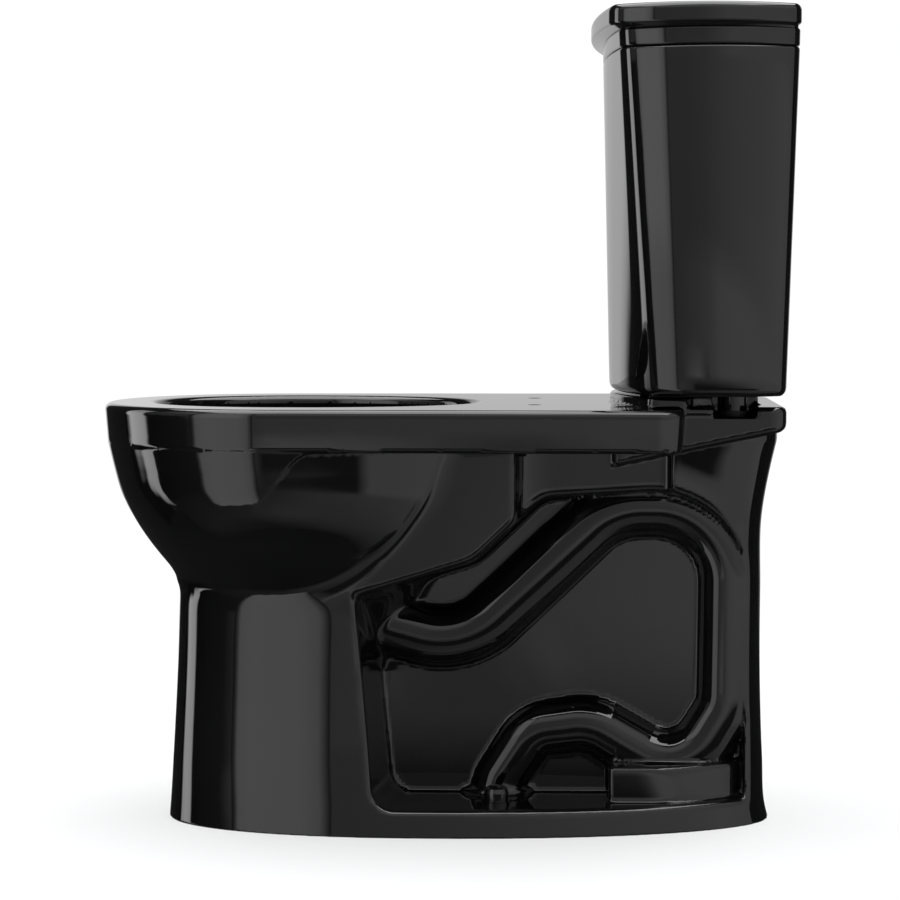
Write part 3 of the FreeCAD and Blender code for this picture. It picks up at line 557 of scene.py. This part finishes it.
def between(low, high, t):
    return tuple(a + (b - a) * t for a, b in zip(low, high))


def tank_sizes(z):
    return between(TANK_LOW, TANK_HIGH, (z - TANK_LOW[0]) / (TANK_HIGH[0] - TANK_LOW[0]))


def ring(sizes, z, inset, angles, corner, rear_corner):
    """Closed loop of points at one height: rays from the tank's middle meet its outline, less the inset."""
    near, far = np.zeros(len(angles)), np.full(len(angles), 330.0)
    dx, dy = np.cos(angles), np.sin(angles)
    for _ in range(46):
        mid = (near + far) / 2
        outside = tank_plan(dx * mid, TANK_MIDDLE_Y + dy * mid, sizes, corner, rear_corner) + inset > 0
        far = np.where(outside, mid, far)
        near = np.where(outside, near, mid)
    return [(float(x), float(y), z) for x, y in zip(dx * near, TANK_MIDDLE_Y + dy * near)]


def ring_angles(sizes, count=220):
    """Ray directions spaced evenly along the outline, and closer where it bends."""
    fine = np.linspace(-math.pi, math.pi, 4001)[:-1]
    loop = np.array(ring(sizes, 0.0, 0.0, fine, 9.0, 9.0))[:, :2]
    step = np.roll(loop, -1, 0) - loop
    heading = np.unwrap(np.arctan2(step[:, 1], step[:, 0]))
    bend = np.abs(np.roll(heading, -1) - heading)
    bend[-1] = bend[-2]
    weight = np.hypot(*step.T) + 26.0 * bend
    total = np.concatenate([[0.0], np.cumsum(weight)])
    return np.interp(np.linspace(0, total[-1], count, endpoint=False), total, np.append(fine, math.pi))


def stacked(profile, plan_sizes, angles, corner=9.0, rear_corner=9.0, capped=(True, True)):
    """Skin through rings, one for each (height, inset) in profile; plan_sizes gives a height's outline."""
    count = len(angles)
    points, faces = [], []
    for z, inset in profile:
        points += ring(plan_sizes(z), z, inset, angles, max(corner - 0.5 * inset, 3.0),
                       max(rear_corner - 0.5 * inset, 3.0))
    for level in range(len(profile) - 1):
        for i in range(count):
            a = level * count + i
            b = level * count + (i + 1) % count
            faces.append((a, b, b + count, a + count))
    if capped[0]:
        faces.append(tuple(reversed(range(count))))
    if capped[1]:
        top = (len(profile) - 1) * count
        faces.append(tuple(range(top, top + count)))
    return points, faces


def rounded_edge(z, inset, r, start, end, steps=7):
    """Arc in a profile, centred at (z, inset), between two directions in degrees (0 is straight in)."""
    turns = [math.radians(start + (end - start) * i / steps) for i in range(steps + 1)]
    return [(z + r * math.sin(t), inset + r * math.cos(t)) for t in turns]


def make_tank():
    angles = ring_angles(TANK_HIGH)
    low, high = TANK_LOW[0], TANK_HIGH[0]
    outer_r, rim_r, inner_r, floor_r = 8.0, 3.0, 2.5, 10.0
    profile = [(low, 40.0), (low, 12.0)]
    profile += rounded_edge(low + outer_r, outer_r, outer_r, 270, 180)
    steps = 22
    first, last = low + outer_r, high - rim_r
    profile += [(first + (last - first) * i / steps, 0.0) for i in range(1, steps)]
    profile += rounded_edge(high - rim_r, rim_r, rim_r, 180, 90)
    profile += rounded_edge(high - inner_r, TANK_WALL - inner_r, inner_r, 90, 0)
    profile += [(z, TANK_WALL) for z in np.linspace(high - 20, TANK_FLOOR_Z + floor_r + 12, 12)]
    profile += rounded_edge(TANK_FLOOR_Z + floor_r, TANK_WALL + floor_r, floor_r, 180, 270)
    profile += [(TANK_FLOOR_Z, TANK_WALL + 14.0), (TANK_FLOOR_Z, 46.0)]
    tank = joined("tank_china", [stacked(profile, tank_sizes, angles)])
    bosses = [upright(12.5, side * TANK_BOLT[0], TANK_BOLT[1], 406.0, 426.0) for side in (-1, 1)]
    bosses.append(post(19.0, (-LEVER_PAD_X, LEVER_Y, LEVER_Z), (-LEVER_INNER_X, LEVER_Y, LEVER_Z), 64))
    boolean(tank, joined("bosses", bosses), "UNION")
    holes = [upright(31.0, 0, FLUSH_Y, 415, 440, 72), upright(13.0, *FILL_HOLE, 415, 440),
             post(9.0, (-230, LEVER_Y, LEVER_Z), (-170, LEVER_Y, LEVER_Z))]
    holes += [upright(TANK_BOLT_HOLE_R, side * TANK_BOLT[0], TANK_BOLT[1], 400, 440) for side in (-1, 1)]
    boolean(tank, joined("holes", holes), "DIFFERENCE")
    tank.data.set_sharp_from_angle(angle=math.radians(38))
    return tank


def make_lid():
    angles = ring_angles(LID_SLAB)
    base = TANK_HIGH[0] + LID_GAP
    band_top, slab_low, slab_top = LID_BAND_HIGH[0], 760.5, LID_SLAB[0]

    def plan_sizes(z):
        if z < base + 0.01:
            return tank_sizes(min(z, TANK_HIGH[0]))
        if z <= band_top:
            return between(TANK_HIGH, LID_BAND_HIGH, (z - base) / (band_top - base))
        if z < slab_low:
            return between(LID_BAND_HIGH, LID_SLAB, (z - band_top) / (slab_low - band_top))
        return LID_SLAB

    inner = 11.0
    profile = [(767.0, 46.0), (767.0, inner + 14.0 + 6.0)]
    profile += rounded_edge(761.0, inner + 12.0, 6.0, 90, 180)
    profile += [(757.0, inner), (750.0, inner)]
    profile += rounded_edge(base + 2.0, inner - 2.0, 2.0, 0, -90)
    profile += rounded_edge(base + 2.0, 2.0, 2.0, 270, 180)
    profile += [(z, 0.0) for z in np.linspace(base + 4.0, band_top - 2.0, 5)]
    profile += rounded_edge(band_top - 1.5, 1.5, 1.5, 180, 90, 4)
    profile += [(758.6, 2.6)]
    profile += rounded_edge(slab_low + 3.0, 3.0, 3.0, 270, 180)
    profile += [(z, 0.0) for z in (766.0, 769.0, 772.0)]
    profile += rounded_edge(slab_top - 6.0, 6.0, 6.0, 180, 90, 10)
    profile += [(slab_top, 12.0), (slab_top, 40.0)]
    lid = joined("tank_lid_china", [stacked(profile, plan_sizes, angles)])
    lid.data.set_sharp_from_angle(angle=math.radians(50))
    return lid


def make_bowl():
    cell = 3.3
    points, faces = symmetric_mesh(china, (-190, -392, -6), (192, 282, 426), cell)
    piece = new_mesh("bowl_china", points, faces)
    holes = []
    for side in (-1, 1):
        holes.append(upright(BOLT_HOLE_R, side * SEAT_HOLE[0], SEAT_HOLE[1], 362, 420))
        holes.append(upright(BOLT_HOLE_R, side * FLOOR_BOLT_X, 0, -5, 40))
        holes.append(upright(TANK_BOLT_HOLE_R, side * TANK_BOLT[0], TANK_BOLT[1], 370, 412))
    boolean(piece, joined("holes", holes), "DIFFERENCE")
    relight(piece)
    return piece


def relight(piece):
    """Smooth normals from the china's own shape, and flat ones in the drilled holes."""
    mesh = piece.data
    spots = np.empty(len(mesh.vertices) * 3, np.float32)
    mesh.vertices.foreach_get("co", spots)
    smooth = gradient(china, spots.reshape(-1, 3) / MM, 0.5)
    smooth /= np.linalg.norm(smooth, axis=1)[:, None] + 1e-9
    flat = np.empty(len(mesh.polygons) * 3, np.float32)
    mesh.polygons.foreach_get("normal", flat)
    corner_count = np.empty(len(mesh.polygons), np.int32)
    mesh.polygons.foreach_get("loop_total", corner_count)
    flat = np.repeat(flat.reshape(-1, 3), corner_count, axis=0)
    owner = np.empty(len(mesh.loops), np.int32)
    mesh.loops.foreach_get("vertex_index", owner)
    chosen = smooth[owner]
    sharp = (chosen * flat).sum(1) < 0.6
    chosen[sharp] = flat[sharp]
    mesh.normals_split_custom_set(chosen.tolist())


# ---------------------------------------------------------------- materials


def noise(tree, scale, detail=3.0):
    """Noise that sits still on the object, in its own metres."""
    place = tree.nodes.new("ShaderNodeTexCoord")
    texture = tree.nodes.new("ShaderNodeTexNoise")
    texture.inputs["Scale"].default_value = scale
    texture.inputs["Detail"].default_value = detail
    tree.links.new(place.outputs["Object"], texture.inputs["Vector"])
    return texture.outputs["Fac"]


def ranged(tree, value, low, high):
    spread = tree.nodes.new("ShaderNodeMapRange")
    spread.inputs["From Min"].default_value = 0.3
    spread.inputs["From Max"].default_value = 0.7
    spread.inputs["To Min"].default_value = low
    spread.inputs["To Max"].default_value = high
    tree.links.new(value, spread.inputs["Value"])
    return spread.outputs["Result"]


def toned(tree, value, dark, light):
    ramp = tree.nodes.new("ShaderNodeValToRGB")
    ramp.color_ramp.elements[0].position = 0.3
    ramp.color_ramp.elements[1].position = 0.7
    ramp.color_ramp.elements[0].color = (*dark, 1.0)
    ramp.color_ramp.elements[1].color = (*light, 1.0)
    tree.links.new(value, ramp.inputs["Fac"])
    return ramp.outputs["Color"]


def material(name, dark, light, rough, tone_scale, grain_scale, grain_height, metallic):
    """Procedural finish: colour and gloss drift a little over the surface, over a fine grain."""
    made = bpy.data.materials.new(name)
    made.use_nodes = True
    tree = made.node_tree
    shader = tree.nodes["Principled BSDF"]
    shader.inputs["Metallic"].default_value = metallic
    shader.inputs["IOR"].default_value = 1.5
    tree.links.new(toned(tree, noise(tree, tone_scale), dark, light), shader.inputs["Base Color"])
    tree.links.new(ranged(tree, noise(tree, tone_scale * 1.7), *rough), shader.inputs["Roughness"])
    bump = tree.nodes.new("ShaderNodeBump")
    bump.inputs["Strength"].default_value = 1.0
    bump.inputs["Distance"].default_value = grain_height
    tree.links.new(noise(tree, grain_scale, 2.0), bump.inputs["Height"])
    tree.links.new(bump.outputs["Normal"], shader.inputs["Normal"])
    return made


# dark and light colour, roughness from and to, tone scale, grain scale, grain height in metres, metallic
FINISHES = {
    "black_glaze": ((0.0035, 0.0036, 0.004), (0.0055, 0.0056, 0.006), (0.035, 0.055), 9, 22, 0.00006, 0),
    "black_cap": ((0.004, 0.004, 0.0045), (0.007, 0.007, 0.0075), (0.07, 0.11), 60, 160, 0.00002, 0),
    "black_rubber": ((0.012, 0.012, 0.012), (0.025, 0.025, 0.024), (0.55, 0.75), 90, 900, 0.00008, 0),
    "red_rubber": ((0.30, 0.022, 0.014), (0.42, 0.04, 0.025), (0.45, 0.62), 70, 700, 0.00007, 0),
    "brass": ((0.50, 0.34, 0.12), (0.70, 0.52, 0.22), (0.22, 0.38), 120, 500, 0.00003, 1),
    "steel": ((0.42, 0.42, 0.43), (0.62, 0.62, 0.63), (0.18, 0.32), 160, 700, 0.00002, 1),
    "lever_chrome": ((0.62, 0.63, 0.65), (0.74, 0.75, 0.77), (0.04, 0.09), 50, 90, 0.00001, 1),
    "white_plastic": ((0.70, 0.70, 0.67), (0.80, 0.80, 0.78), (0.32, 0.46), 60, 800, 0.00003, 0),
    "black_plastic": ((0.012, 0.012, 0.013), (0.022, 0.022, 0.024), (0.30, 0.48), 60, 800, 0.00004, 0),
    "grey_plastic": ((0.24, 0.25, 0.27), (0.32, 0.33, 0.35), (0.30, 0.45), 60, 800, 0.00003, 0),
    "clear_tube": ((0.02, 0.02, 0.022), (0.04, 0.04, 0.044), (0.18, 0.28), 50, 300, 0.00003, 0),
}


def dress(piece, finish):
    piece.data.materials.clear()
    piece.data.materials.append(finish)


# ---------------------------------------------------------------- studio


def softbox(name, levels, distance):
    """Glowing wall round the toilet that shows in reflections and not to the camera.

    Each level is (height, profile), and a profile is a list of (bearing in degrees from +X towards
    the front, brightness).
    """
    first = min(profile[0][0] for _, profile in levels)
    last = max(profile[-1][0] for _, profile in levels)
    turns = np.arange(first, last + 1.5, 1.5)
    points, glow, faces = [], [], []
    for height, profile in levels:
        bearings, bright = zip(*profile)
        glow += list(np.interp(turns, bearings, bright))
        points += [(distance * math.cos(math.radians(t)), -distance * math.sin(math.radians(t)), height)
                   for t in turns]
    count = len(turns)
    for i in range(len(levels) - 1):
        for j in range(count - 1):
            a = i * count + j
            faces.append((a, a + 1, a + count + 1, a + count))
    mesh = bpy.data.meshes.new(name)
    mesh.from_pydata(points, [], faces)
    mesh.attributes.new("glow", "FLOAT", "POINT").data.foreach_set("value", glow)
    panel = bpy.data.objects.new(name, mesh)
    bpy.context.scene.collection.objects.link(panel)
    made = bpy.data.materials.new(name)
    made.use_nodes = True
    tree = made.node_tree
    tree.nodes.clear()
    level = tree.nodes.new("ShaderNodeAttribute")
    level.attribute_name = "glow"
    light = tree.nodes.new("ShaderNodeEmission")
    out = tree.nodes.new("ShaderNodeOutputMaterial")
    tree.links.new(level.outputs["Fac"], light.inputs["Strength"])
    tree.links.new(light.outputs["Emission"], out.inputs["Surface"])
    mesh.materials.append(made)
    panel.visible_camera = False
    panel.visible_shadow = False
    panel.visible_diffuse = False


def overhead(name, centre, half, height, strength):
    """Large area light above the toilet, for the floor's soft shadow and the highlights on upper surfaces."""
    light = bpy.data.lights.new(name, "AREA")
    light.shape = "RECTANGLE"
    light.size, light.size_y = 2 * half[0], 2 * half[1]
    light.energy = strength
    holder = bpy.data.objects.new(name, light)
    holder.location = (centre[0], centre[1], height)
    bpy.context.scene.collection.objects.link(holder)


def make_floor():
    """Pale floor: about half matt and half glowing near the toilet, fading into the background's white."""
    count, radius = 128, 5.0
    turns = [2 * math.pi * i / count for i in range(count)]
    points = [(0, 0, 0)] + [(radius * math.cos(t), radius * math.sin(t), 0) for t in turns]
    mesh = bpy.data.meshes.new("floor")
    mesh.from_pydata(points, [], [(0, i + 1, (i + 1) % count + 1) for i in range(count)])
    floor = bpy.data.objects.new("floor", mesh)
    bpy.context.scene.collection.objects.link(floor)
    made = bpy.data.materials.new("floor")
    made.use_nodes = True
    tree = made.node_tree
    shader = tree.nodes["Principled BSDF"]
    shader.inputs["Base Color"].default_value = (0.86, 0.87, 0.88, 1)
    shader.inputs["Roughness"].default_value = 0.9
    shader.inputs["Specular IOR Level"].default_value = 0.0
    glow = tree.nodes.new("ShaderNodeEmission")
    glow.inputs["Strength"].default_value = 1.02
    blend = tree.nodes.new("ShaderNodeMixShader")
    place = tree.nodes.new("ShaderNodeTexCoord")
    far = tree.nodes.new("ShaderNodeVectorMath")
    far.operation = "LENGTH"
    fade = tree.nodes.new("ShaderNodeMapRange")
    fade.interpolation_type = "SMOOTHSTEP"
    fade.inputs["From Min"].default_value = 0.35
    fade.inputs["From Max"].default_value = 0.9
    fade.inputs["To Min"].default_value = 0.55
    tree.links.new(place.outputs["Object"], far.inputs[0])
    tree.links.new(far.outputs["Value"], fade.inputs["Value"])
    tree.links.new(fade.outputs["Result"], blend.inputs["Fac"])
    tree.links.new(shader.outputs["BSDF"], blend.inputs[1])
    tree.links.new(glow.outputs["Emission"], blend.inputs[2])
    tree.links.new(blend.outputs["Shader"], tree.nodes["Material Output"].inputs["Surface"])
    mesh.materials.append(made)
    floor.visible_glossy = False


def make_backdrop():
    """White all round, for the camera only."""
    bpy.ops.mesh.primitive_uv_sphere_add(segments=64, ring_count=32, radius=9.0, location=(0, 0, 0))
    dome = bpy.context.object
    dome.name = "backdrop"
    made = bpy.data.materials.new("backdrop")
    made.use_nodes = True
    tree = made.node_tree
    tree.nodes.clear()
    glow = tree.nodes.new("ShaderNodeEmission")
    glow.inputs["Strength"].default_value = 1.02
    out = tree.nodes.new("ShaderNodeOutputMaterial")
    tree.links.new(glow.outputs["Emission"], out.inputs["Surface"])
    dome.data.materials.append(made)
    dome.visible_diffuse = False
    dome.visible_glossy = False
    dome.visible_transmission = False
    dome.visible_shadow = False


def make_lights():
    """Panels whose reflections draw the highlights on the glaze, an overhead light and a faint world."""
    world = bpy.data.worlds.new("studio")
    world.use_nodes = True
    world.node_tree.nodes["Background"].inputs["Color"].default_value = (1, 1, 1, 1)
    world.node_tree.nodes["Background"].inputs["Strength"].default_value = 0.02
    bpy.context.scene.world = world
    overhead("overhead", (0.0, 0.0), (1.6, 1.6), 2.6, 160.0)
    dark = [(-96, 0.0), (90, 0.0)]
    underfoot = [(-96, 0.2), (-60, 0.3), (-10, 0.36), (10, 0.35), (27, 0.25), (42, 0.15), (74, 0.1),
                 (90, 0.05)]
    sill = [(-96, 0.5), (-60, 0.5), (-37, 0.42), (-10, 0.33), (4, 0.24), (18, 0.18), (31, 0.12), (90, 0.03)]
    foot = [(-96, 0.7), (-55, 0.8), (-46, 0.05), (15, 0.05), (19, 0.3), (30, 0.5), (56, 0.05), (90, 0.0)]
    knee = [(-96, 0.7), (-55, 0.8), (-30, 0.55), (-8, 0.45), (0, 0.4), (15, 0.4), (30, 0.4), (56, 0.05),
            (90, 0.0)]
    band = [(-96, 0.6), (-60, 0.8), (-30, 0.9), (-13, 0.9), (-3, 0.65), (-2, 0.8), (0, 0.53), (2, 0.38),
            (4, 0.4), (6, 0.65), (9, 0.9), (12, 1.1), (20, 0.8), (28, 0.4), (56, 0.05), (90, 0.0)]
    middle = [(-96, 0.6), (-70, 0.9), (-47, 0.97), (-27, 0.97), (-9, 0.88), (0, 0.65), (12, 0.52), (33, 0.37),
              (50, 0.4), (62, 0.05), (90, 0.0)]
    chest = [(-96, 0.6), (-66, 0.9), (-47, 0.8), (-25, 0.7), (-9, 0.58), (4, 0.45), (19, 0.39), (34, 0.39),
             (56, 0.4), (64, 0.05), (90, 0.0)]
    high = [(-96, 0.5), (-60, 0.8), (-20, 0.8), (-8, 0.6), (3, 0.45), (34, 0.4), (56, 0.4), (76, 0.3),
            (90, 0.2)]
    upper = [(-96, 0.8), (-60, 1.1), (60, 1.1), (90, 0.3)]
    softbox("surround", [(-6.0, dark), (-3.5, underfoot), (-1.35, sill), (-1.1, foot), (-0.45, foot),
                         (-0.32, knee), (-0.2, band), (-0.12, middle), (0.02, middle), (0.1, chest),
                         (0.5, chest), (0.6, high), (1.2, high), (1.9, upper), (2.9, upper), (3.5, dark)],
            2.6)
    key = [(26, 0.0), (29, 1.15), (34, 1.4), (51, 1.45), (56, 1.3), (58, 0.0)]
    bright_key = [(26, 0.0), (29, 1.3), (34, 1.8), (51, 1.8), (56, 1.4), (58, 0.0)]
    softbox("key", [(-0.6, key), (0.34, key), (0.42, bright_key), (1.1, bright_key),
                    (1.3, [(26, 0.0), (58, 0.0)])], 1.0)
    softbox("front_strip", [(-1.8, [(74, 0.0), (76, 2.6), (88, 2.6), (90, 0.0), (112, 0.0)]),
                            (-1.0, [(74, 0.0), (79, 0.0), (81, 2.8), (94, 2.8), (96, 0.0), (112, 0.0)]),
                            (-0.5, [(74, 0.0), (85, 0.0), (87, 3.2), (99, 3.2), (101, 0.0), (112, 0.0)]),
                            (-0.1, [(74, 0.0), (90, 0.0), (92, 3.4), (106, 3.4), (108, 0.0), (112, 0.0)]),
                            (0.5, [(74, 0.0), (92, 0.0), (94, 3.6), (109, 3.6), (111, 0.0)]),
                            (2.0, [(74, 0.0), (92, 0.0), (94, 1.8), (109, 1.8), (111, 0.0)])], 2.7)
    behind = [(148, 0.0), (153, 0.95), (158, 1.05), (166, 0.78), (174, 0.62), (214, 0.6), (220, 0.0)]
    softbox("behind", [(-0.25, [(148, 0.0), (220, 0.0)]), (0.1, behind), (1.4, behind),
                       (2.0, [(148, 0.0), (220, 0.0)])], 3.0)


def make_camera():
    camera = bpy.data.cameras.new("camera")
    camera.lens = 110.1
    camera.sensor_width = 36.0
    holder = bpy.data.objects.new("camera", camera)
    holder.location = (2.700, 0.041, 0.537)
    aim = Vector((0.0, -0.047, 0.362)) - holder.location
    holder.rotation_euler = aim.to_track_quat("-Z", "Y").to_euler()
    bpy.context.scene.collection.objects.link(holder)
    bpy.context.scene.camera = holder
    bpy.context.scene.view_settings.view_transform = "Standard"


# ---------------------------------------------------------------- the scene

make_camera()
make_floor()
make_backdrop()
make_lights()

finish_of = {name: material(name, *values) for name, values in FINISHES.items()}
slot_of = {part["node"]: part["material_slot"] for part in frame["record"]["subparts"]}
for node, thing in frame["nodes"].items():
    dress(thing, finish_of[slot_of[node]])

for piece, node, body in ((make_bowl(), "bowl", "fixed"), (make_tank(), "tank", "fixed"),
                          (make_lid(), "tank_lid", "lid")):
    dress(piece, finish_of["black_glaze"])
    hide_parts(node)
    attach(piece, body)
